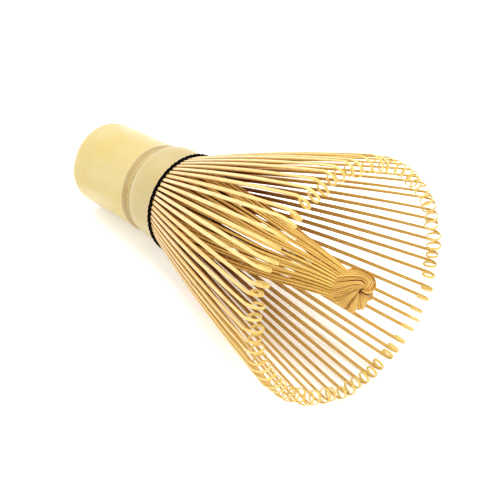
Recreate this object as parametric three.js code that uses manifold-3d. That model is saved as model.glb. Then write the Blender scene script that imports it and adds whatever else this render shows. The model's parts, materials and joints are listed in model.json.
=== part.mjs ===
// Bamboo tea whisk lying on its side: a length of bamboo culm whose upper half is
// split into a ring of outer tines with curled tips and a ring of inner tines that
// are gathered into a knot, with a thread woven between the two rings.
// Millimetres, +Z up, crown towards +X, at rest on the butt's edge and the lowest tines.
import * as THREE from 'three';
import { mergeVertices } from 'three/addons/utils/BufferGeometryUtils.js';
import Module from 'manifold-3d';

const wasm = await Module();
wasm.setup();

// ---- Driving dimensions; "height" runs along the whisk's own axis from the butt ----
const BUTT_RADIUS = 12.5;
const BUTT_ROUNDING = 1.8;
const WALL = 3.2;
const RING_HEIGHT = 26.1;
const RING_WIDTH = 2.4;
const RING_RADIUS = 13.25;
const RING_STEP = 0.55;
const GROOVE_DEPTH = 0.45;
const RING_EDGE = 0.3;
const GROOVE_WIDTH = 0.4;
const SHOULDER_RISE = 2.2;
const SHOULDER_RADIUS = 13.95;
const HANDLE_TOP = 39.5;
const DIAPHRAGM_THICKNESS = 3.0;

const OUTER_TINES = 64;
const TINES_PER_OUTER_NODE = 2;
const TINE_WIDTH = 1.05;
const TINE_TIP_WIDTH = 0.85;
const ROOT_HEIGHT = 39.85;
const ROOT_TOP = 41.5;
const ROOT_BEND = 1.4;
const ROOT_RADIUS = 14.4;
const ROOT_THICKNESS = 0.85;
const SPREAD_THICKNESS = 0.5;
const CURL_THICKNESS = 0.36;
const SPREAD_HEIGHT = 103.3;
const SPREAD_RADIUS = 33.6;
const SPREAD_BOW = 3;
const SHOULDER_BEND_RADIUS = 4.5;
const SHOULDER_BEND = 45;
const CURL_RADIUS = 1.75;
const CURL_TURN = 280;

const INNER_TINES = 64;
const TINES_PER_INNER_NODE = 4;
const INNER_ROOT_RADIUS = 12.05;
const INNER_ROOT_THICKNESS = 0.95;
const INNER_TIP_HEIGHT = 103.9;
const INNER_TIP_RADIUS = 3.75;
const INNER_TIP_THICKNESS = 0.5;
const INNER_BELLY = 0.9;
const INNER_FILL = 0.72;

const THREAD_HEIGHT = 41.1;
const OUTER_THREAD_RADIUS = 0.45;
const INNER_THREAD_RADIUS = 0.33;
const CLEARANCE = 0.3;

const KNOT_BOTTOM = 104.3;
const KNOT_RADIUS = 5.3;
const KNOT_TOP = 111.5;
const KNOT_NECK_RADIUS = 3.9;
const KNOT_BELLY_HEIGHT = 3.3;
const KNOT_CROWN_HEIGHT = 5.0;
const KNOT_CROWN_RADIUS = 4.95;
const KNOT_EDGE_RADIUS = 4.0;
const KNOT_EDGE_DROP = 0.8;
const KNOT_FOOT_RADIUS = 4.8;
const KNOT_FOOT_HEIGHT = 1.1;
const DIMPLE_RIM_RADIUS = 2.8;
const DIMPLE_RADIUS = 1.7;
const DIMPLE_STEP = 0.4;
const DIMPLE_DEPTH = 1.5;
const KNOT_SAG = 1.1;

const HANDLE_SIDES = 32;
const THREAD_SIDES = 48;
const KNOT_SIDES = 28;
const CURL_STEPS = 8;
const BEND_STEPS = 3;
const INNER_STEPS = 3;

// The angle by which the outer tines leave the axis, in radians.
const SPREAD = Math.atan2(
  SPREAD_RADIUS - ROOT_RADIUS + ROOT_THICKNESS / 2,
  SPREAD_HEIGHT - ROOT_TOP,
);

// On its side the whisk touches the floor where its outer tines start to bend.
const TOUCH_RADIUS = SPREAD_RADIUS + SPREAD_THICKNESS / 2;

// ---- Materials ----
const culm = new THREE.MeshStandardMaterial({ color: 0xe9d797, roughness: 0.42, metalness: 0 });
const splitBamboo = new THREE.MeshStandardMaterial({ color: 0xefcf86, roughness: 0.5, metalness: 0 });
const heartBamboo = new THREE.MeshStandardMaterial({ color: 0xe0b263, roughness: 0.55, metalness: 0 });
const blackCotton = new THREE.MeshStandardMaterial({ color: 0x15151a, roughness: 0.9, metalness: 0 });

// ---- Small helpers ----
const radians = THREE.MathUtils.degToRad;
const point = (x, y) => new THREE.Vector2(x, y);

function toSolid(geometry) {
  const bare = geometry.clone();
  bare.deleteAttribute('normal');
  bare.deleteAttribute('uv');
  const merged = mergeVertices(bare, 1e-4);
  return new wasm.Manifold(new wasm.Mesh({
    numProp: 3,
    vertProperties: new Float32Array(merged.attributes.position.array),
    triVerts: new Uint32Array(merged.index.array),
  }));
}

function toGeometry(solid) {
  const mesh = solid.getMesh();
  const geometry = new THREE.BufferGeometry();
  geometry.setAttribute('position', new THREE.BufferAttribute(mesh.vertProperties, 3));
  geometry.setIndex(new THREE.BufferAttribute(mesh.triVerts, 1));
  geometry.computeVertexNormals();
  return geometry;
}

// A lathe turned about Y, stood up so that the profile's second coordinate is height along Z.
function turned(profile, sides) {
  return new THREE.LatheGeometry(profile, sides).rotateX(Math.PI / 2);
}

function arc(cx, cy, radius, from, to, steps) {
  const points = [];
  for (let i = 0; i <= steps; i += 1) {
    const angle = radians(from + ((to - from) * i) / steps);
    points.push(point(cx + radius * Math.cos(angle), cy + radius * Math.sin(angle)));
  }
  return points;
}

// ---- Handle: a hollow culm closed inside by the wall at its node ring ----
function handleGeometry() {
  const inner = BUTT_RADIUS - WALL;
  const topInner = SHOULDER_RADIUS - WALL;
  const plateTop = RING_HEIGHT + DIAPHRAGM_THICKNESS;
  const ringTop = RING_HEIGHT + RING_WIDTH;
  const profile = [
    point(0, RING_HEIGHT),
    point(inner, RING_HEIGHT),
    point(inner, 0),
    ...arc(BUTT_RADIUS - BUTT_ROUNDING, BUTT_ROUNDING, BUTT_ROUNDING, -90, 0, 3),
    point(RING_RADIUS - RING_STEP, RING_HEIGHT - 2 * RING_STEP),
    point(RING_RADIUS, RING_HEIGHT + RING_EDGE),
    point(RING_RADIUS, ringTop - RING_EDGE),
    point(RING_RADIUS - GROOVE_DEPTH, ringTop + GROOVE_WIDTH),
    point(RING_RADIUS + RING_STEP / 2, ringTop + SHOULDER_RISE),
    point(SHOULDER_RADIUS, ringTop + 2 * SHOULDER_RISE),
    point(SHOULDER_RADIUS, HANDLE_TOP),
    point(topInner, HANDLE_TOP),
    point(topInner, plateTop),
    point(0, plateTop),
  ];
  return turned(profile, HANDLE_SIDES);
}

// ---- Tines ----
// A centre line in the plane of the axis: each station has the distance from the axis,
// the height, the heading (0 along the axis, positive outwards) and the thickness.
function outerLine() {
  const middle = ROOT_RADIUS - ROOT_THICKNESS / 2;
  const bow = radians(SPREAD_BOW);
  const swell = (Math.hypot(SPREAD_RADIUS - middle, SPREAD_HEIGHT - ROOT_TOP) * Math.tan(bow / 2)) / 2;
  const stations = [
    { out: middle, up: ROOT_TOP - ROOT_BEND, heading: 0, thick: ROOT_THICKNESS },
    { out: middle, up: ROOT_TOP, heading: SPREAD + bow, thick: ROOT_THICKNESS },
    {
      out: (middle + SPREAD_RADIUS) / 2 + swell * Math.cos(SPREAD),
      up: (ROOT_TOP + SPREAD_HEIGHT) / 2 - swell * Math.sin(SPREAD),
      heading: SPREAD,
      thick: (ROOT_THICKNESS + SPREAD_THICKNESS) / 2,
    },
    { out: SPREAD_RADIUS, up: SPREAD_HEIGHT, heading: SPREAD - bow, thick: SPREAD_THICKNESS },
  ];
  const turn = (radius, degrees, steps, thick) => {
    const step = radians(degrees / steps);
    const chord = 2 * radius * Math.sin(step / 2);
    for (let i = 0; i < steps; i += 1) {
      const last = stations[stations.length - 1];
      const along = last.heading - step / 2;
      stations.push({
        out: last.out + chord * Math.sin(along),
        up: last.up + chord * Math.cos(along),
        heading: last.heading - step,
        thick,
      });
    }
  };
  turn(SHOULDER_BEND_RADIUS, SHOULDER_BEND, BEND_STEPS, CURL_THICKNESS);
  turn(CURL_RADIUS, CURL_TURN, CURL_STEPS, CURL_THICKNESS);
  return stations;
}

function innerLine() {
  const stations = [];
  const from = INNER_ROOT_RADIUS - INNER_ROOT_THICKNESS / 2;
  const bottom = ROOT_TOP - ROOT_BEND;
  const rise = INNER_TIP_HEIGHT - bottom;
  for (let i = 0; i <= INNER_STEPS; i += 1) {
    const share = i / INNER_STEPS;
    const slope = (INNER_TIP_RADIUS - from + INNER_BELLY * Math.PI * Math.cos(Math.PI * share)) / rise;
    stations.push({
      out: THREE.MathUtils.lerp(from, INNER_TIP_RADIUS, share) + INNER_BELLY * Math.sin(Math.PI * share),
      up: bottom + rise * share,
      heading: Math.atan(slope),
      thick: THREE.MathUtils.lerp(INNER_ROOT_THICKNESS, INNER_TIP_THICKNESS, share),
    });
  }
  return stations;
}

// A flat strip along a centre line: its outline extruded sideways, then given its width.
function stripGeometry(stations, widthAt) {
  const side = (sign) => stations.map(({ out, up, heading, thick }) => point(
    out + (sign * thick * Math.cos(heading)) / 2,
    up - (sign * thick * Math.sin(heading)) / 2,
  ));
  const outline = [...side(1), ...side(-1).reverse()];
  const geometry = new THREE.ExtrudeGeometry(new THREE.Shape(outline), { depth: 1, bevelEnabled: false });
  geometry.translate(0, 0, -0.5);
  const position = geometry.attributes.position;
  for (let i = 0; i < position.count; i += 1) {
    position.setZ(i, position.getZ(i) * widthAt(position.getX(i)));
  }
  // Outline (distance, height) becomes (X, Z); the width lies along Y.
  return geometry.rotateX(Math.PI / 2);
}

// A short arc of the culm's wall that joins the tines of one node below the cuts.
function rootGeometry(outer, thickness, halfAngle) {
  const shape = new THREE.Shape();
  shape.absarc(0, 0, outer, -halfAngle, halfAngle, false);
  shape.absarc(0, 0, outer - thickness, halfAngle, -halfAngle, true);
  const band = new THREE.ExtrudeGeometry(shape, {
    depth: ROOT_TOP - ROOT_HEIGHT,
    bevelEnabled: false,
    curveSegments: 2,
  });
  return band.translate(0, 0, ROOT_HEIGHT);
}

// The tines of one node, fanned about the axis and centred on +X.
function tineGroupGeometry(strips, total, outer, thickness) {
  const tines = strips.length;
  const pitch = (2 * Math.PI) / total;
  const halfAngle = (tines * pitch) / 2 - CLEARANCE / 2 / outer;
  let solid = toSolid(rootGeometry(outer, thickness, halfAngle));
  for (let i = 0; i < tines; i += 1) {
    const angle = (i - (tines - 1) / 2) * pitch;
    solid = solid.add(toSolid(strips[i].clone().rotateZ(angle)));
  }
  return toGeometry(solid);
}

// Moves an upright shape's points towards the floor, more and more up to the knot.
function sagged(geometry) {
  const shape = geometry.clone();
  const position = shape.attributes.position;
  for (let i = 0; i < position.count; i += 1) {
    const share = (position.getZ(i) - ROOT_TOP) / (KNOT_BOTTOM - ROOT_TOP);
    const sag = KNOT_SAG * THREE.MathUtils.clamp(share, 0, 1) ** 2;
    position.setX(i, position.getX(i) + sag);
  }
  shape.computeVertexNormals();
  return shape;
}

// ---- Binding thread and knot ----
function threadGeometry(ringRadius, cordRadius) {
  return turned(arc(ringRadius, THREAD_HEIGHT, cordRadius, -180, 180, 6), THREAD_SIDES);
}

function knotGeometry() {
  const profile = [
    point(0, KNOT_BOTTOM),
    point(KNOT_NECK_RADIUS, KNOT_BOTTOM),
    point(KNOT_FOOT_RADIUS, KNOT_BOTTOM + KNOT_FOOT_HEIGHT),
    point(KNOT_RADIUS, KNOT_BOTTOM + KNOT_BELLY_HEIGHT),
    point(KNOT_CROWN_RADIUS, KNOT_BOTTOM + KNOT_CROWN_HEIGHT),
    point(KNOT_EDGE_RADIUS, KNOT_TOP - KNOT_EDGE_DROP),
    point(DIMPLE_RIM_RADIUS, KNOT_TOP),
    point(DIMPLE_RADIUS, KNOT_TOP - DIMPLE_STEP),
    point(0, KNOT_TOP - DIMPLE_DEPTH),
  ];
  return turned(profile, KNOT_SIDES);
}

// ---- Assembly ----
const whisk = new THREE.Group();

function addPiece(name, geometry, material, turn = 0) {
  const mesh = new THREE.Mesh(geometry, material);
  mesh.name = name;
  mesh.rotation.z = turn;
  whisk.add(mesh);
}

addPiece('handle', handleGeometry(), culm, Math.PI / HANDLE_SIDES);

const outerThreadRing = ROOT_RADIUS + CLEARANCE + OUTER_THREAD_RADIUS;
const innerThreadRing = ROOT_RADIUS - ROOT_THICKNESS - CLEARANCE - INNER_THREAD_RADIUS;
addPiece('thread_outer_turn', threadGeometry(outerThreadRing, OUTER_THREAD_RADIUS), blackCotton);
addPiece('thread_inner_turn', threadGeometry(innerThreadRing, INNER_THREAD_RADIUS), blackCotton);

const outerStrip = stripGeometry(outerLine(), (out) => THREE.MathUtils.mapLinear(
  out,
  ROOT_RADIUS - ROOT_THICKNESS,
  SPREAD_RADIUS,
  TINE_WIDTH,
  TINE_TIP_WIDTH,
));
const outerPitch = (2 * Math.PI) / OUTER_TINES;
const evenStrips = Array(TINES_PER_OUTER_NODE).fill(outerStrip);
const outerGroup = tineGroupGeometry(evenStrips, OUTER_TINES, ROOT_RADIUS, ROOT_THICKNESS);

// The weight of the whisk presses its four lowest tines to one level, so the outer two of
// them stand out a little further than the rest.
const levelRadius = (TOUCH_RADIUS * Math.cos(outerPitch / 2)) / Math.cos(1.5 * outerPitch);
const levelTilt = (levelRadius - TOUCH_RADIUS) / (SPREAD_HEIGHT - ROOT_TOP);
const pressedStrip = outerStrip.clone()
  .translate(-ROOT_RADIUS, 0, -ROOT_TOP)
  .rotateY(levelTilt)
  .translate(ROOT_RADIUS, 0, ROOT_TOP);
const lowestGroups = [[pressedStrip, outerStrip], [outerStrip, pressedStrip]]
  .map((strips) => tineGroupGeometry(strips, OUTER_TINES, ROOT_RADIUS, ROOT_THICKNESS));

const outerNodes = OUTER_TINES / TINES_PER_OUTER_NODE;
for (let i = 0; i < outerNodes; i += 1) {
  const turn = ((i - 0.5) * 2 * Math.PI) / outerNodes;
  const geometry = lowestGroups[i] ?? outerGroup;
  addPiece(`outer_tines_${String(i + 1).padStart(2, '0')}`, geometry, splitBamboo, turn);
}

const innerPitch = (2 * Math.PI) / INNER_TINES;
const innerStrip = stripGeometry(innerLine(), (out) => INNER_FILL * innerPitch * out);
const innerGroup = tineGroupGeometry(
  Array(TINES_PER_INNER_NODE).fill(innerStrip),
  INNER_TINES,
  INNER_ROOT_RADIUS,
  INNER_ROOT_THICKNESS,
);
const innerNodes = INNER_TINES / TINES_PER_INNER_NODE;
for (let i = 0; i < innerNodes; i += 1) {
  const turn = ((i + 0.5) * 2 * Math.PI) / innerNodes;
  const geometry = sagged(innerGroup.clone().rotateZ(turn));
  addPiece(`inner_tines_${String(i + 1).padStart(2, '0')}`, geometry, heartBamboo);
}

addPiece('knot', sagged(knotGeometry()), heartBamboo);

// Lie the whisk down: the axis rises towards the crown by the angle at which the butt's
// edge and the lowest curls touch one level surface.
const crownDrop = TOUCH_RADIUS * Math.cos(outerPitch / 2);
const buttDrop = BUTT_RADIUS * Math.cos(Math.PI / HANDLE_SIDES);
whisk.rotation.y = Math.PI / 2 - Math.atan2(crownDrop - buttDrop, SPREAD_HEIGHT - BUTT_ROUNDING);

const group = new THREE.Group();
group.add(whisk);
whisk.updateMatrixWorld(true);
const bounds = new THREE.Box3().setFromObject(whisk, true);
whisk.position.set(
  -(bounds.min.x + bounds.max.x) / 2,
  -(bounds.min.y + bounds.max.y) / 2,
  -bounds.min.z,
);

export default group;
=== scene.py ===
"""Bamboo tea whisk lying on its side: peeled culm handle, woven black thread, outer tines
with curled tips, and inner tines gathered and folded into a knot."""

import json
import math
import random

import bmesh
import bpy
from mathutils import Matrix, Quaternion, Vector


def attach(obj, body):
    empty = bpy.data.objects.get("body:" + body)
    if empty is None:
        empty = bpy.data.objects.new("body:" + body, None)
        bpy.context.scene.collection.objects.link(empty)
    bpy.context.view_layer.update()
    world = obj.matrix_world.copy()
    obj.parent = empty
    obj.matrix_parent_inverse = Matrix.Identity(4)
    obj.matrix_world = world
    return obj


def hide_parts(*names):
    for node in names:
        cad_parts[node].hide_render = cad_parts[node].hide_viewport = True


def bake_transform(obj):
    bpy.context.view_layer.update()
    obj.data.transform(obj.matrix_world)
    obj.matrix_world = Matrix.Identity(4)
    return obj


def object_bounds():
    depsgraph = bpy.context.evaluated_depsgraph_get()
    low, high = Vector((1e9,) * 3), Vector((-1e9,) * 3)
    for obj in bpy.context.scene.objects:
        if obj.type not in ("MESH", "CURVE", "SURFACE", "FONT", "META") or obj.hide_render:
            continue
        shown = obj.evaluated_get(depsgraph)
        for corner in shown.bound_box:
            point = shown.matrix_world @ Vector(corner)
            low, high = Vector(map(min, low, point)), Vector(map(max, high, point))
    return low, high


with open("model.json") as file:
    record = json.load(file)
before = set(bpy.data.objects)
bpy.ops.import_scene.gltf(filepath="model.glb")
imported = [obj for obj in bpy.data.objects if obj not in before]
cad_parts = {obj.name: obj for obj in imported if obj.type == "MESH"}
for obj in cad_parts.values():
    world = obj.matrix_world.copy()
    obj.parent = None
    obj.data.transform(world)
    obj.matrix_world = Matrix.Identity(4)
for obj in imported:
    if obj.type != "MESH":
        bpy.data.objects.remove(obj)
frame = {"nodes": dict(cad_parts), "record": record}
cad_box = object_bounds()

MM = 0.001

# ---- Where the whisk lies --------------------------------------------------------------
# The whisk has a frame of its own: X towards the floor, Y sideways, Z from butt to crown.
butt_face = next(m for m in frame["record"]["mounts"] if m["name"] == "butt_face")
AXIS = -Vector(butt_face["axis"]).normalized()
SIDE = Vector((0, 1, 0))
LIE = Matrix((SIDE.cross(AXIS), SIDE, AXIS)).transposed().to_4x4()
LIE.translation = Vector((butt_face["pos_m"][0], 0, butt_face["pos_m"][2]))
UNLIE = LIE.inverted()

BODY = "whisk_body"
rng = random.Random(64)


def reach(name):
    """Lowest and highest point along the axis and largest distance from it, in mm."""
    spots = [(UNLIE @ v.co) / MM for v in frame["nodes"][name].data.vertices]
    ups = [p.z for p in spots]
    return min(ups), max(ups), max(math.hypot(p.x, p.y) for p in spots)


# ---- Driving sizes, mm; heights run along the axis from the butt -------------------------
THREAD_LOW, THREAD_HIGH, THREAD_OUT = reach("thread_outer_turn")
THREAD_UP = (THREAD_LOW + THREAD_HIGH) / 2
KNOT_LOW, KNOT_HIGH, _ = reach("knot")
BUTT_OUT = 12.5
WALL = 3.2
RING_UP = 26.1
RING_WIDTH = 2.4
TOP_OUT = 14.0
SCRAPED_UP = 29.5
KNOT_SAG = 1.1

OUTER_NODES = sorted(n for n in frame["nodes"] if n.startswith("outer_tines"))
INNER_NODES = sorted(n for n in frame["nodes"] if n.startswith("inner_tines"))
OUTER_TINES = 64
INNER_TINES = 64
ROOT_OUT = 14.4
INNER_ROOT_OUT = 12.05


# ---- Small helpers -----------------------------------------------------------------------
def polar(out, angle, up):
    return Vector((out * math.cos(angle), out * math.sin(angle), up))


def sagged(point):
    """The knot hangs a little towards the floor, and draws the inner tines with it."""
    share = max(0.0, min(1.0, (point.z - THREAD_UP) / (KNOT_LOW - THREAD_UP)))
    return point + Vector((KNOT_SAG * share * share, 0, 0))


def mix(a, b, share):
    return a + (b - a) * share


def ease(share):
    share = max(0.0, min(1.0, share))
    return share * share * (3 - 2 * share)


def curve_through(spots, steps):
    """Points of a smooth curve through the given tuples, steps to each stretch."""
    made = []
    for i in range(len(spots) - 1):
        before, here = spots[max(i - 1, 0)], spots[i]
        there, after = spots[i + 1], spots[min(i + 2, len(spots) - 1)]
        for k in range(steps):
            t = k / steps
            made.append(tuple(
                0.5 * (2 * b + (c - a) * t + (2 * a - 5 * b + 4 * c - d) * t * t
                       + (3 * b - 3 * c + d - a) * t ** 3)
                for a, b, c, d in zip(before, here, there, after)
            ))
    return made + [tuple(spots[-1])]


class Piece:
    """Closed surfaces in the whisk's frame, in mm, made into one mesh."""

    def __init__(self):
        self.points, self.faces, self.uvs = [], [], []
        self.tones, self.skins, self.tips, self.slots = [], [], [], []

    def wrap(self, rings, tone=0.5, skin=None, tips=None, round_trip=False, along=None, slot_of=None):
        """Joins rings of equally many points; the grain runs from ring to ring.
        skin is 1 on bark side points of a ring and 0 on heart side ones; tips is 0 for
        rings at the root of a strip and 1 at its thin end."""
        count = len(rings[0])
        base = len(self.points)
        skin = skin or [1.0] * count
        across = [0.0]
        widest = max(rings, key=lambda r: (r[0] - r[count // 2]).length)
        for i in range(count):
            across.append(across[-1] + (widest[(i + 1) % count] - widest[i]).length)
        if along is None:
            along = [0.0]
            for a, b in zip(rings, rings[1:] + rings[:1]):
                along.append(along[-1] + (b[0] - a[0]).length)
        start = rng.random() * 40
        for k, ring in enumerate(rings):
            self.points += ring
            self.tones += [tone] * count
            self.skins += skin
            self.tips += [tips[k] if tips else 0.0] * count
        last = len(rings) if round_trip else len(rings) - 1
        for r in range(last):
            s = (r + 1) % len(rings)
            for i in range(count):
                j = (i + 1) % count
                self.faces.append([base + r * count + i, base + r * count + j,
                                   base + s * count + j, base + s * count + i])
                self.uvs.append([(start + across[i], along[r]), (start + across[i + 1], along[r]),
                                 (start + across[i + 1], along[r + 1]), (start + across[i], along[r + 1])])
                self.slots.append(slot_of(r) if slot_of else 0)
        if not round_trip:
            for r in (0, len(rings) - 1):
                middle = sum(rings[r], Vector()) / count
                self.faces.append([base + r * count + i for i in range(count)])
                self.uvs.append([(p.x - middle.x, p.y - middle.y) for p in rings[r]])
                self.slots.append(slot_of(r) if slot_of else 0)

    def make(self, name, slot, *materials, sharp=35):
        mesh = bpy.data.meshes.new(name)
        mesh.from_pydata([LIE @ (p * MM) for p in self.points], [], self.faces)
        grain = mesh.uv_layers.new(name="grain")
        flat = [c for face in self.uvs for uv in face for c in uv]
        grain.data.foreach_set("uv", flat)
        for label, values in (("tone", self.tones), ("skin", self.skins), ("tip", self.tips)):
            mesh.attributes.new(label, "FLOAT", "POINT").data.foreach_set("value", values)
        for material in materials:
            mesh.materials.append(material)
        mesh.polygons.foreach_set("material_index", self.slots)
        tidy = bmesh.new()
        tidy.from_mesh(mesh)
        bmesh.ops.recalc_face_normals(tidy, faces=tidy.faces)
        tidy.to_mesh(mesh)
        tidy.free()
        mesh.polygons.foreach_set("use_smooth", [True] * len(mesh.polygons))
        mesh.set_sharp_from_angle(angle=math.radians(sharp))
        made = bpy.data.objects.new(name, mesh)
        bpy.context.scene.collection.objects.link(made)
        return made


# ---- Materials ---------------------------------------------------------------------------
def colour(text):
    """An sRGB hex value as linear red, green, blue and alpha."""
    parts = [int(text[i:i + 2], 16) / 255 for i in (1, 3, 5)]
    return [c / 12.92 if c <= 0.04045 else ((c + 0.055) / 1.055) ** 2.4 for c in parts] + [1.0]


def add(tree, kind, inputs=None, **settings):
    """Adds a node with its settings, and sets or links its inputs."""
    made = tree.nodes.new(kind)
    for name, value in settings.items():
        setattr(made, name, value)
    for socket, value in (inputs or {}).items():
        if isinstance(value, bpy.types.NodeSocket):
            tree.links.new(value, made.inputs[socket])
        else:
            made.inputs[socket].default_value = value
    return made


def new_material(name, roughness, **sockets):
    """A material with its surface shader, whose constant values sit on its own sockets."""
    material = bpy.data.materials.new(name)
    material.use_nodes = True
    tree = material.node_tree
    shader = tree.nodes["Principled BSDF"]
    shader.inputs["Roughness"].default_value = roughness
    for socket, value in sockets.items():
        shader.inputs[socket.replace("_", " ")].default_value = value
    return material, tree, shader


def streaks(tree, per_mm_across, per_mm_along, detail=3.0, rough=0.55):
    """Long fibres: noise squeezed across the grain and stretched along it."""
    uv = add(tree, "ShaderNodeUVMap", uv_map="grain")
    scaled = add(tree, "ShaderNodeVectorMath",
                 {0: uv.outputs["UV"], 1: (per_mm_across, per_mm_along, 1)}, operation="MULTIPLY")
    noise = add(tree, "ShaderNodeTexNoise",
                {"Vector": scaled.outputs[0], "Scale": 1.0, "Detail": detail, "Roughness": rough})
    return noise.outputs["Fac"]


def shade(tree, a, b, share):
    """Mixes two colours, or a colour over a colour, by a share."""
    made = add(tree, "ShaderNodeMix", data_type="RGBA")
    for socket, value in ((0, share), (6, a), (7, b)):
        if isinstance(value, bpy.types.NodeSocket):
            tree.links.new(value, made.inputs[socket])
        else:
            made.inputs[socket].default_value = value
    return made.outputs[2]


def multiply(tree, a, b):
    return add(tree, "ShaderNodeMath", {0: a, 1: b}, operation="MULTIPLY").outputs[0]


def between(tree, value, low, high, to_low=0.0, to_high=1.0):
    return add(tree, "ShaderNodeMapRange", {0: value, 1: low, 2: high, 3: to_low, 4: to_high},
               interpolation_type="SMOOTHSTEP").outputs[0]


def split_bamboo(name, root, bark, bark_tip, flesh, fibre_and_root_shade, roughness):
    """Split and shaved bamboo: a pale satin bark side that yellows towards the thin tips,
    golden flesh on the sides and heart, and fine straight fibres along each strip."""
    material, tree, shader = new_material(name, roughness, Specular_IOR_Level=0.18)
    fibres = streaks(tree, 5.0, 0.22)
    blotches = streaks(tree, 0.5, 0.09, detail=2.0)
    tone, skin, tip = (add(tree, "ShaderNodeAttribute", attribute_name=label).outputs["Fac"]
                       for label in ("tone", "skin", "tip"))
    # Near the roots the bark side takes the root colour; on the inner tines that is their split flesh,
    # darkened with painted shade deep in the crown.
    outer = shade(tree, colour(root), colour(bark), between(tree, tip, 0.05, 0.65))
    outer = shade(tree, outer, colour(bark_tip), tip)
    # Painted shade: the sides and heart are darkened to deep brown down between the roots, where the crown
    # shades them, and they are paler in the thin curls.
    inner = shade(tree, colour(fibre_and_root_shade), colour(flesh), between(tree, tip, 0.0, 0.35, 0.0, 1.0))
    inner = shade(tree, inner, colour(bark_tip), between(tree, tip, 0.4, 0.9, 0.0, 0.85))
    faces = shade(tree, inner, outer, skin)
    grained = shade(tree, faces, colour(fibre_and_root_shade), between(tree, fibres, 0.46, 0.8, 0.0, 0.6))
    toned = shade(tree, grained, colour(flesh), between(tree, tone, 0.3, 1.0, 0.0, 0.4))
    final = shade(tree, toned, colour(bark), between(tree, blotches, 0.55, 0.8, 0.0, 0.3))
    tree.links.new(final, shader.inputs["Base Color"])
    tree.links.new(between(tree, fibres, 0.3, 0.7, roughness - 0.06, roughness + 0.1),
                   shader.inputs["Roughness"])
    bump = add(tree, "ShaderNodeBump", {"Height": fibres, "Strength": 0.25, "Distance": 0.00006})
    tree.links.new(bump.outputs[0], shader.inputs["Normal"])
    return material


def peeled_culm():
    """Boiled and peeled culm: smooth, waxy and cream, with faint fibre lines, cloudy yellow patches, a
    browner band on the node ring and a dark line of painted shade in the groove beside it."""
    material, tree, shader = new_material("peeled_bamboo_culm", 0.4, Specular_IOR_Level=0.4,
                                          Coat_Weight=0.08, Coat_Roughness=0.3)
    fibres = streaks(tree, 2.6, 0.05, detail=4.0)
    clouds = streaks(tree, 0.1, 0.06, detail=3.0)
    specks = streaks(tree, 1.6, 0.9, detail=1.0)
    uv = add(tree, "ShaderNodeUVMap", uv_map="grain")
    height = add(tree, "ShaderNodeSeparateXYZ", {0: uv.outputs["UV"]}).outputs["Y"]
    waver = add(tree, "ShaderNodeMath",
                {0: between(tree, streaks(tree, 0.18, 0.0), 0.3, 0.7, -0.35, 0.35), 1: height},
                operation="ADD").outputs[0]
    base = shade(tree, colour("#B0A06C"), colour("#AE9A58"), between(tree, clouds, 0.35, 0.7))
    base = shade(tree, base, colour("#97834E"), between(tree, fibres, 0.5, 0.8, 0.0, 0.4))
    # Above the ring the culm was scraped, which leaves it greyer.
    base = shade(tree, base, colour("#9C8D66"), between(tree, waver, SCRAPED_UP, SCRAPED_UP + 1.0, 0.0, 0.6))
    ring = multiply(tree, between(tree, waver, RING_UP - 0.7, RING_UP + 0.2),
                    between(tree, waver, RING_UP + 2.2, RING_UP + 3.1, 1.0, 0.0))
    ring = multiply(tree, ring, between(tree, clouds, 0.2, 0.8, 0.5, 0.8))
    base = shade(tree, base, colour("#7E6232"), ring)
    # Painted shade: a dark line down in the groove past the ring.
    groove = multiply(tree, between(tree, waver, RING_UP + 2.9, RING_UP + 3.2),
                      between(tree, waver, RING_UP + 3.25, RING_UP + 3.6, 1.0, 0.0))
    base = shade(tree, base, colour("#5E4824"), groove)
    base = shade(tree, base, colour("#7C6739"), between(tree, specks, 0.74, 0.8, 0.0, 0.5))
    tree.links.new(base, shader.inputs["Base Color"])
    tree.links.new(between(tree, clouds, 0.3, 0.7, 0.34, 0.46), shader.inputs["Roughness"])
    bump = add(tree, "ShaderNodeBump", {"Height": fibres, "Strength": 0.12, "Distance": 0.00008})
    tree.links.new(bump.outputs[0], shader.inputs["Normal"])
    return material


def cut_culm():
    """Sawn and hollow inner wall of the culm: drier, matt and browner, dotted with fibres."""
    material, tree, shader = new_material("sawn_bamboo_wall", 0.7, Specular_IOR_Level=0.25)
    uv = add(tree, "ShaderNodeUVMap", uv_map="grain")
    dots = add(tree, "ShaderNodeTexVoronoi", {"Vector": uv.outputs["UV"], "Scale": 1.8})
    fibres = streaks(tree, 3.0, 0.2)
    base = shade(tree, colour("#BFA56E"), colour("#A9854B"), between(tree, fibres, 0.4, 0.7))
    base = shade(tree, colour("#7B5B2F"), base, between(tree, dots.outputs["Distance"], 0.08, 0.3))
    tree.links.new(base, shader.inputs["Base Color"])
    bump = add(tree, "ShaderNodeBump", {"Height": fibres, "Strength": 0.4, "Distance": 0.0001})
    tree.links.new(bump.outputs[0], shader.inputs["Normal"])
    return material


def black_cotton():
    """Dyed and waxed cotton thread: near black, matt, with fuzz lines across the twist."""
    material, tree, shader = new_material("black_cotton_thread", 0.85, Specular_IOR_Level=0.04)
    plies = streaks(tree, 9.0, 3.0, detail=2.0)
    base = shade(tree, colour("#020203"), colour("#08090C"), between(tree, plies, 0.4, 0.75))
    tree.links.new(base, shader.inputs["Base Color"])
    bump = add(tree, "ShaderNodeBump", {"Height": plies, "Strength": 0.6, "Distance": 0.0001})
    tree.links.new(bump.outputs[0], shader.inputs["Normal"])
    return material


def studio_floor():
    """Matt milky white floor with a faint painted glow that softens the shadows on it."""
    material, tree, shader = new_material("milky_floor_with_painted_glow", 0.9, Specular_IOR_Level=0.1,
                                          Emission_Color=(1.0, 0.995, 0.985, 1.0),
                                          Emission_Strength=0.2)
    noise = add(tree, "ShaderNodeTexNoise", {"Scale": 300.0})
    tree.links.new(shade(tree, colour("#F6F6F4"), colour("#FAFAF8"), noise.outputs["Fac"]),
                   shader.inputs["Base Color"])
    return material


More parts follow.
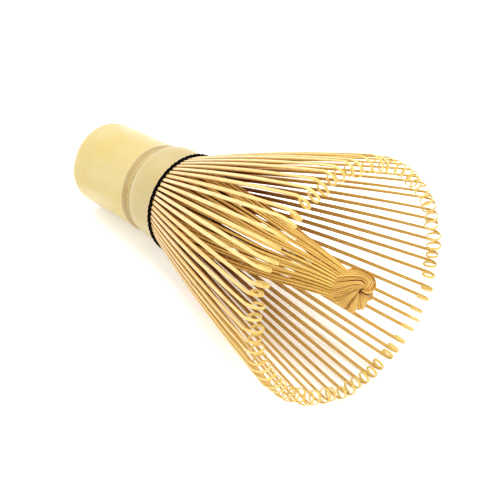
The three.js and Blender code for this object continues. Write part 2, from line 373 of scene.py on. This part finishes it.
CULM = peeled_culm()
SAWN = cut_culm()
# The last colour of each material is both the dark fibre brown and the painted shade down between the roots.
OUTER_BAMBOO = split_bamboo("split_bamboo_outer", "#D2B68A", "#D2B68A", "#D8BC6C", "#C19A4E", "#743002", 0.5)
# Its first colour is the split flesh near the inner tines' roots, darkened with painted shade.
INNER_BAMBOO = split_bamboo("shaved_bamboo_inner", "#A06022", "#DAB76C", "#D6B25A", "#B67C28", "#6E2C00", 0.5)
# Painted shade: a dark material for the shell under the knot's strips.
KNOT_SHADE = split_bamboo("knot_gap_painted_shade", "#5C2C0C", "#5C2C0C", "#5C2C0C", "#4A2008", "#2A1002", 0.8)
THREAD = black_cotton()


# ---- Handle ------------------------------------------------------------------------------
HANDLE_COLUMNS = 144
MIDDLE_HOLE = 0.4
SAWN_EDGE = 0.25
# Past the ring the culm runs a little off its own middle, away from the floor.
OFF_CENTRE = 0.55
# Heights over which that begins and ends, from the ring and from the top.
OFF_START, OFF_RISE = 1.5, 2.5
OFF_END, OFF_FALL = 1.0, 5.0
# The ring wavers in height round the culm, and the waver fades away from it.
RING_WAVER_MIDDLE = RING_UP + 1.8
RING_WAVER_FADE = 2.6


def make_handle():
    inner = BUTT_OUT - WALL
    top_inner = TOP_OUT - WALL
    top = THREAD_UP - 0.3
    low, high = RING_UP, RING_UP + RING_WIDTH
    bore = [(MIDDLE_HOLE, low), (inner, low), (inner, low - 1), (inner, 12.0), (inner, SAWN_EDGE),
            (inner + SAWN_EDGE, 0.0)]
    edge = [(10.7, 0.0), (11.55, 0.16), (12.1, 0.6), (12.4, 1.25), (12.5, 2.2)]
    outside = curve_through([
        (12.5, 2.2), (12.62, 7.0), (12.75, 15.0), (12.88, 21.5), (12.92, low - 1.4),
        (12.98, low - 0.6), (13.2, low + 0.1), (13.28, low + 0.9), (13.2, low + 1.8),
        (13.05, low + 2.5), (12.85, low + 3.1), (13.1, high + 1.4), (13.6, high + 2.2),
        (13.88, high + 3.2), (13.95, high + 5.0), (13.9, high + 8.0), (TOP_OUT, top),
    ], 5)
    inside = [(top_inner, top), (top_inner, 33.0), (top_inner - 0.1, high + 0.6),
              (MIDDLE_HOLE, high + 0.6)]
    profile = bore + edge + outside + inside
    first, last = len(bore), len(bore) + len(edge) + len(outside) - 1
    rings = []
    for out, up in profile:
        shift = -OFF_CENTRE * ease((up - low - OFF_START) / OFF_RISE) * ease((top - OFF_END - up) / OFF_FALL)
        near_ring = math.exp(-((up - RING_WAVER_MIDDLE) / RING_WAVER_FADE) ** 2)
        share = 1.0 if out > MIDDLE_HOLE else 0.0
        ring = []
        for i in range(HANDLE_COLUMNS):
            angle = 2 * math.pi * i / HANDLE_COLUMNS
            oval = 0.07 * math.cos(2 * angle + 0.6) + 0.04 * math.cos(5 * angle + 2.0)
            waver = near_ring * (0.22 * math.sin(angle + 0.8) + 0.1 * math.sin(3 * angle))
            spot = polar(out + share * oval, angle, up + share * waver)
            ring.append(spot + Vector((shift * share, 0, 0)))
        rings.append(ring)
    handle = Piece()
    handle.wrap(rings, along=[up for _, up in profile] + [0],
                slot_of=lambda r: 0 if first <= r < last else 1)
    made = handle.make("bamboo_handle", "bamboo_skin", CULM, SAWN, sharp=50)
    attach(made, BODY)
    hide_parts("handle")


# ---- Strips ------------------------------------------------------------------------------
def strip_ring(centre, normal, across, width, thick):
    """Eight points round a flat strip with softened edges, in the order that STRIP_SKIN marks bark side and
    heart side.
    """
    w, t = width / 2, thick / 2
    soft = min(0.13, t * 0.7, w * 0.4)
    corners = [(w, t - soft), (w - soft, t), (-w + soft, t), (-w, t - soft),
               (-w, -t + soft), (-w + soft, -t), (w - soft, -t), (w, -t + soft)]
    return [centre + across * x + normal * y for x, y in corners]


STRIP_SKIN = [0.55, 1.0, 1.0, 0.55, 0.0, 0.0, 0.0, 0.0]

SPREAD_UP = 103.3
SPREAD_OUT = 33.6
SPREAD_BOW = math.radians(3)
SPREAD_FOOT_UP = THREAD_UP + 0.3
ROOT_LENGTH = 1.3
ROOT_BEND_LENGTH = 1.0
BEND_OUT = 4.5
BEND_TURN = 45
CURL_OUT = 1.75
CURL_TURN = 340
CURL_TIGHTENING = 0.94
ROOT_STEPS = 2
ROOT_BEND_STEPS = 4
SPREAD_STEPS = 18
BEND_STEPS = 9
HALF_CURL_STEPS = 14
BEND_START = ROOT_STEPS + ROOT_BEND_STEPS + SPREAD_STEPS

# Widths and thicknesses of an outer tine from its root to its curl.
ROOT_WIDTH, MIDDLE_WIDTH, SHOULDER_WIDTH = 0.98, 1.1, 0.92
CURL_NARROWING = 0.25
ROOT_THICK, SHOULDER_THICK, CURL_THICK = 0.85, 0.42, 0.2

# How far the shaving knife and the curling iron let one tine differ from the next.
MOST_LEAN_IN = 0.4
TINE_STRAY = 0.9
TINE_CANT = 7
CURL_SIDESTEP = 1.6

# The floor presses the four lowest tines to one level, so the outer two stand out more.
PRESSED = math.radians(0.3)
# Away from the floor the tines stand out a little further, in degrees.
SPRUNG_OUT = 0.55


def outer_stations(lean, bend_out, curl_out, curl_turn):
    """The centre line of one outer tine: (out, up, heading) from under the thread to the tip."""
    out, up = ROOT_OUT - 0.42, THREAD_UP - 1.4
    spread = math.atan2(SPREAD_OUT - out, SPREAD_UP - SPREAD_FOOT_UP) - lean
    stations = [(out, up, 0.0)]

    def go(length, turn, steps):
        nonlocal out, up
        heading = stations[-1][2]
        for _ in range(steps):
            middle = heading - turn / steps / 2
            out += length / steps * math.sin(middle)
            up += length / steps * math.cos(middle)
            heading -= turn / steps
            stations.append((out, up, heading))

    go(ROOT_LENGTH, 0.0, ROOT_STEPS)
    go(ROOT_BEND_LENGTH, -spread - SPREAD_BOW, ROOT_BEND_STEPS)
    go((SPREAD_UP - up) / math.cos(spread), 2 * SPREAD_BOW, SPREAD_STEPS)
    go(bend_out * math.radians(BEND_TURN), math.radians(BEND_TURN), BEND_STEPS)
    tight = math.radians(curl_turn)
    go(curl_out * tight * 0.5, tight * 0.5, HALF_CURL_STEPS)
    go(curl_out * CURL_TIGHTENING * tight * 0.5, tight * 0.5, HALF_CURL_STEPS)
    return stations


def outer_tine(piece, angle, pressed):
    """One flat tine, wide and thick at the root, shaved thin towards its curled tip."""
    lean = math.radians(rng.uniform(0.0, MOST_LEAN_IN) - SPRUNG_OUT * math.sin(angle / 2) ** 2) - pressed
    stray = math.radians(rng.uniform(-TINE_STRAY, TINE_STRAY))
    curl = CURL_OUT * rng.uniform(0.9, 1.12)
    turn = CURL_TURN + rng.uniform(-25, 15)
    cant = math.radians(rng.uniform(-TINE_CANT, TINE_CANT))
    stations = outer_stations(lean, BEND_OUT * rng.uniform(0.85, 1.2), curl, turn)
    tone = rng.random()
    rings, tips = [], []
    for k, (out, up, heading) in enumerate(stations):
        before_bend = k <= BEND_START
        share = (up - THREAD_UP) / (SPREAD_UP - THREAD_UP) if before_bend else 1.0
        share = max(0.0, min(1.0, share))
        at = angle + stray * share
        radial, side = polar(1, at, 0), polar(1, at + math.pi / 2, 0)
        normal = radial * math.cos(heading) - Vector((0, 0, 1)) * math.sin(heading)
        turned = 0.0 if before_bend else (k - BEND_START) / (len(stations) - 1 - BEND_START)
        ahead = radial * math.sin(heading) + Vector((0, 0, 1)) * math.cos(heading)
        twist = Quaternion(ahead, cant * min(1.0, turned * 3))
        width = mix(mix(ROOT_WIDTH, MIDDLE_WIDTH, ease(share * 2)), SHOULDER_WIDTH, ease(share * 2 - 1))
        width -= CURL_NARROWING * turned
        thick = mix(mix(ROOT_THICK, SHOULDER_THICK, ease(share)), CURL_THICK, min(1.0, turned * 4))
        centre = polar(out, at, up) + side * (turned * math.sin(cant) * CURL_SIDESTEP)
        rings.append(strip_ring(centre, twist @ normal, twist @ side, width, thick))
        tips.append(mix(0.0, 0.5, share) + 0.5 * min(1.0, turned * 3))
    piece.wrap(rings, tone=tone, skin=STRIP_SKIN, tips=tips)


def make_outer_tines():
    per_node = OUTER_TINES // len(OUTER_NODES)
    pitch = 2 * math.pi / OUTER_TINES
    for i, node in enumerate(OUTER_NODES):
        middle = (i - 0.5) * 2 * math.pi / len(OUTER_NODES)
        piece = Piece()
        for k in range(per_node):
            angle = middle + (k - (per_node - 1) / 2) * pitch
            outer_tine(piece, angle, PRESSED if pitch < abs(angle) < 2 * pitch else 0.0)
        made = piece.make("tine_pair_%02d" % (i + 1), "bamboo_split", OUTER_BAMBOO)
        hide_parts(node)
        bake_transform(made)


INNER_NECK_OUT = 3.5
INNER_STEPS = 24
INNER_STRAY = 4.2
INNER_ROOT_WIDTH, INNER_TIP_WIDTH = 0.8, 0.56
INNER_ROOT_THICK, INNER_TIP_THICK = 0.85, 0.36
# Every second inner tine lies a layer deeper where the ring closes up.
LAYER_DEPTH = 0.62
# Near the knot the inner tines are twisted round the axis.
GATHER_TWIST = math.radians(16)


def inner_tine(piece, angle, under):
    """One slender inner tine, from its root to where it dives into the knot."""
    foot, neck = INNER_ROOT_OUT - 0.5, INNER_NECK_OUT
    low, high = THREAD_UP - 1.0, KNOT_LOW + 1.3
    stray = math.radians(rng.uniform(-INNER_STRAY, INNER_STRAY))
    belly = rng.uniform(0.6, 1.4)
    tone = rng.random()
    rings, tips = [], []
    for k in range(INNER_STEPS + 1):
        share = k / INNER_STEPS
        out = mix(foot, neck, share ** 1.04) + belly * math.sin(math.pi * share)
        out -= (LAYER_DEPTH if under else 0.0) * ease((share - 0.25) / 0.6)
        at = angle + stray * math.sin(math.pi * share) - GATHER_TWIST * ease((share - 0.55) / 0.45)
        up = mix(low, high, share)
        slope = math.atan2(neck - foot + belly * math.pi * math.cos(math.pi * share), high - low)
        radial, side = polar(1, at, 0), polar(1, at + math.pi / 2, 0)
        normal = radial * math.cos(slope) - Vector((0, 0, 1)) * math.sin(slope)
        width = mix(INNER_ROOT_WIDTH, INNER_TIP_WIDTH, ease(share))
        thick = mix(INNER_ROOT_THICK, INNER_TIP_THICK, min(1.0, share * 1.8))
        ring = strip_ring(polar(out, at, up), normal, side, width, thick)
        rings.append([sagged(p) for p in ring])
        tips.append(share)
    piece.wrap(rings, tone=tone, skin=STRIP_SKIN, tips=tips)


def make_inner_tines():
    per_node = INNER_TINES // len(INNER_NODES)
    pitch = 2 * math.pi / INNER_TINES
    for i, node in enumerate(INNER_NODES):
        piece = Piece()
        for k in range(per_node):
            inner_tine(piece, (per_node * i + k + 0.5) * pitch, under=k % 2 == 1)
        made = piece.make("inner_tine_bundle_%02d" % (i + 1), "bamboo_heart", INNER_BAMBOO)
        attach(made, BODY)
        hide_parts(node)


# ---- Knot --------------------------------------------------------------------------------
STRIPS_PER_LOCK = 9
# Swirl in degrees, extra height in mm and share of the round of each folded lock.
LOCK_SHAPES = [(-100, 0.25, 1.1), (-112, 0.1, 0.85), (-96, 0.75, 1.2), (-108, 0.05, 0.8),
               (-94, 0.6, 1.1), (-110, 0.15, 0.9), (-102, 0.5, 1.05)]
FIRST_LOCK = math.radians(20)
PIT_OFFSET = 1.3
STRIP_THICK = 0.3
NARROWEST, WIDEST = 0.3, 0.7
STRIP_FILL = 0.88
CORE_DEPTH = 0.5
CORE_COLUMNS = 40


def knot_profile():
    low, high = KNOT_LOW - 1.2, KNOT_HIGH
    return curve_through([
        (3.5, low), (3.9, low + 0.9), (4.4, low + 2.2), (4.55, low + 4.1), (4.3, low + 5.9),
        (3.8, high - 1.5), (2.6, high - 0.9), (1.25, high - 1.4), (0.55, high - 2.4), (0.3, high - 3.6),
    ], 4)


def pulled(point, u):
    """The ends of the strips are pulled down beside the middle of the knot."""
    return point - Vector((PIT_OFFSET * ease((u - 0.45) / 0.4), 0, 0))


def make_knot():
    profile = knot_profile()
    count = len(profile)
    total_share = sum(shape[2] for shape in LOCK_SHAPES)
    knot = Piece()
    edge = FIRST_LOCK
    for swirl, height, share in LOCK_SHAPES:
        span = 2 * math.pi * share / total_share
        for strand in range(STRIPS_PER_LOCK):
            place = (strand + 0.5) / STRIPS_PER_LOCK
            start = edge + span * (0.01 + 0.98 * place)
            dome = math.sin(math.pi * place)
            loose = rng.uniform(-0.2, 0.24)
            cant = rng.uniform(-0.42, 0.42)
            tone = rng.random()
            # The paler a knot strip, the less it keeps of the root colour with its painted shade; this
            # differs at random from strip to strip.
            paleness = rng.uniform(0.36, 0.52)
            rings = []
            for k, (out, up) in enumerate(profile):
                u = k / (count - 1)
                a, b = profile[max(k - 1, 0)], profile[min(k + 1, count - 1)]
                length = math.hypot(b[0] - a[0], b[1] - a[1])
                face = ((b[1] - a[1]) / length, -(b[0] - a[0]) / length)
                fat = math.sin(math.pi * min(1.0, u * 1.1)) ** 0.8
                at = start + math.radians(swirl) * ease((u - 0.12) / 0.88)
                grown = ((0.3 + 0.5 * dome) * fat + height * dome * math.sin(math.pi * u) ** 2 + loose * fat)
                radial = polar(1, at, 0)
                normal = (radial * face[0] + Vector((0, 0, 1)) * face[1]).normalized()
                side = polar(1, at + math.pi / 2, 0)
                centre = sagged(pulled(polar(out, at, up) + normal * (grown - 0.25), u))
                pitch = span * 0.98 * (out + grown) / STRIPS_PER_LOCK
                width = max(NARROWEST, min(WIDEST, pitch * STRIP_FILL))
                roll = Quaternion(side.cross(normal), 0.2 + cant - 0.66 * (place - 0.5) * fat)
                rings.append(strip_ring(centre, roll @ normal, roll @ side, width, STRIP_THICK))
            knot.wrap(rings, tone=tone, skin=STRIP_SKIN, tips=[paleness] * count)
        edge += span
    made = knot.make("knot_strips", "bamboo_heart", INNER_BAMBOO)
    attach(made, BODY)
    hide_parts("knot")
    make_knot_core(profile)


def make_knot_core(profile):
    """A dark shell under the knot's strips, painted shade seen only between them."""
    core = Piece()
    rings = []
    for k, (out, up) in enumerate(profile):
        inside = max(0.15, out - CORE_DEPTH)
        ring = [polar(inside, 2 * math.pi * i / CORE_COLUMNS, up) for i in range(CORE_COLUMNS)]
        rings.append([sagged(pulled(spot, k / (len(profile) - 1))) for spot in ring])
    core.wrap(rings, tone=0.8)
    # Painted shade: the dark shell inside the knot.
    heart = core.make("knot_core", "bamboo_heart", KNOT_SHADE)
    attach(heart, BODY)


# ---- Thread ------------------------------------------------------------------------------
CORD_SIDES = 10
OUTSIDE_RADIUS = 0.29
INSIDE_RADIUS = 0.4
INSIDE_LIFTS = (0.0, 0.75, 1.5)
INSIDE_STEPS = 288


def twisted_cord(piece, path, radius, turns):
    """A closed two-ply cord along a closed path."""
    count = len(path)
    rings = []
    for k, centre in enumerate(path):
        ahead = (path[(k + 1) % count] - path[k - 1]).normalized()
        up = Vector((0, 0, 1))
        out = up.cross(ahead).normalized()
        up = ahead.cross(out)
        spin = 2 * math.pi * turns * k / count
        ring = []
        for i in range(CORD_SIDES):
            angle = 2 * math.pi * i / CORD_SIDES
            ply = radius * (0.8 + 0.24 * abs(math.cos(angle - spin)))
            ring.append(centre + out * (ply * math.cos(angle)) + up * (ply * math.sin(angle)))
        rings.append(ring)
    piece.wrap(rings, round_trip=True)


def make_thread():
    steps = OUTER_TINES * 12
    weave, hoop = [], []
    for k in range(steps):
        angle = 2 * math.pi * k / steps
        wave = math.cos(OUTER_TINES / 2 * angle)
        dip = math.cos(OUTER_TINES * angle)
        weave.append(polar(THREAD_OUT - 0.9 + 0.16 * wave, angle, THREAD_UP + 0.24 + 0.16 * dip))
        hoop.append(polar(THREAD_OUT - 0.85 - 0.06 * dip, angle, THREAD_UP - 0.28 - 0.05 * wave))
    outside = Piece()
    twisted_cord(outside, weave, OUTSIDE_RADIUS, 120)
    twisted_cord(outside, hoop, OUTSIDE_RADIUS, 125)
    made = outside.make("thread_outside", "black_thread", THREAD, sharp=80)
    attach(made, BODY)
    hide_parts("thread_outer_turn")
    low, high, out = reach("thread_inner_turn")
    inside = Piece()
    for lift in INSIDE_LIFTS:
        ring = [polar(out - 0.25, 2 * math.pi * k / INSIDE_STEPS, (low + high) / 2 + lift)
                for k in range(INSIDE_STEPS)]
        twisted_cord(inside, ring, INSIDE_RADIUS, 80)
    made = inside.make("thread_between_rows", "black_thread", THREAD, sharp=80)
    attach(made, BODY)
    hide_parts("thread_inner_turn")


# ---- Studio ------------------------------------------------------------------------------
CAMERA_AZIMUTH = math.radians(47.96)
CAMERA_ELEVATION = math.radians(42.541)
CAMERA_DISTANCE = 0.41411
AIM_RIGHT = 0.00732
AIM_UP = -0.0152
LENS = 108.65
FLOOR_HALF = 3.0
FLOOR_GAP = 0.00005


def make_studio():
    floor_mesh = bpy.data.meshes.new("studio_floor")
    half = FLOOR_HALF
    floor_mesh.from_pydata([(-half, -half, 0), (half, -half, 0), (half, half, 0), (-half, half, 0)],
                           [], [(0, 1, 2, 3)])
    floor_mesh.materials.append(studio_floor())
    floor = bpy.data.objects.new("studio_floor", floor_mesh)
    floor.location.z = -FLOOR_GAP
    bpy.context.scene.collection.objects.link(floor)

    world = bpy.data.worlds.new("soft_room")
    world.use_nodes = True
    background = world.node_tree.nodes["Background"]
    background.inputs["Color"].default_value = (1.0, 0.995, 0.985, 1)
    background.inputs["Strength"].default_value = 1.25
    bpy.context.scene.world = world

    for name, place, size, power, tint in (
        ("key_softbox", (-0.4, 0.1, 1.1), 0.7, 13.0, (1.0, 0.99, 0.96)),
        ("fill_softbox", (0.7, -0.9, 0.6), 1.2, 2.0, (0.97, 0.985, 1.0)),
    ):
        light = bpy.data.lights.new(name, "AREA")
        light.shape = "SQUARE"
        light.size = size
        light.energy = power
        light.color = tint
        lamp = bpy.data.objects.new(name, light)
        lamp.location = place
        lamp.rotation_euler = (-Vector(place)).to_track_quat("-Z", "Y").to_euler()
        bpy.context.scene.collection.objects.link(lamp)

    bpy.context.scene.view_settings.view_transform = "Standard"


def make_camera():
    low, high = cad_box
    centre = (low + high) / 2
    back = Vector((math.sin(CAMERA_AZIMUTH) * math.cos(CAMERA_ELEVATION),
                   -math.cos(CAMERA_AZIMUTH) * math.cos(CAMERA_ELEVATION),
                   math.sin(CAMERA_ELEVATION)))
    right = Vector((math.cos(CAMERA_AZIMUTH), math.sin(CAMERA_AZIMUTH), 0))
    up = back.cross(right)
    data = bpy.data.cameras.new("camera")
    data.lens = LENS
    data.clip_start = 0.01
    camera = bpy.data.objects.new("camera", data)
    camera.location = centre + right * AIM_RIGHT + up * AIM_UP + back * CAMERA_DISTANCE
    camera.rotation_euler = back.to_track_quat("Z", "Y").to_euler()
    bpy.context.scene.collection.objects.link(camera)
    bpy.context.scene.camera = camera


make_camera()
make_studio()
make_handle()
make_thread()
make_outer_tines()
make_inner_tines()
make_knot()
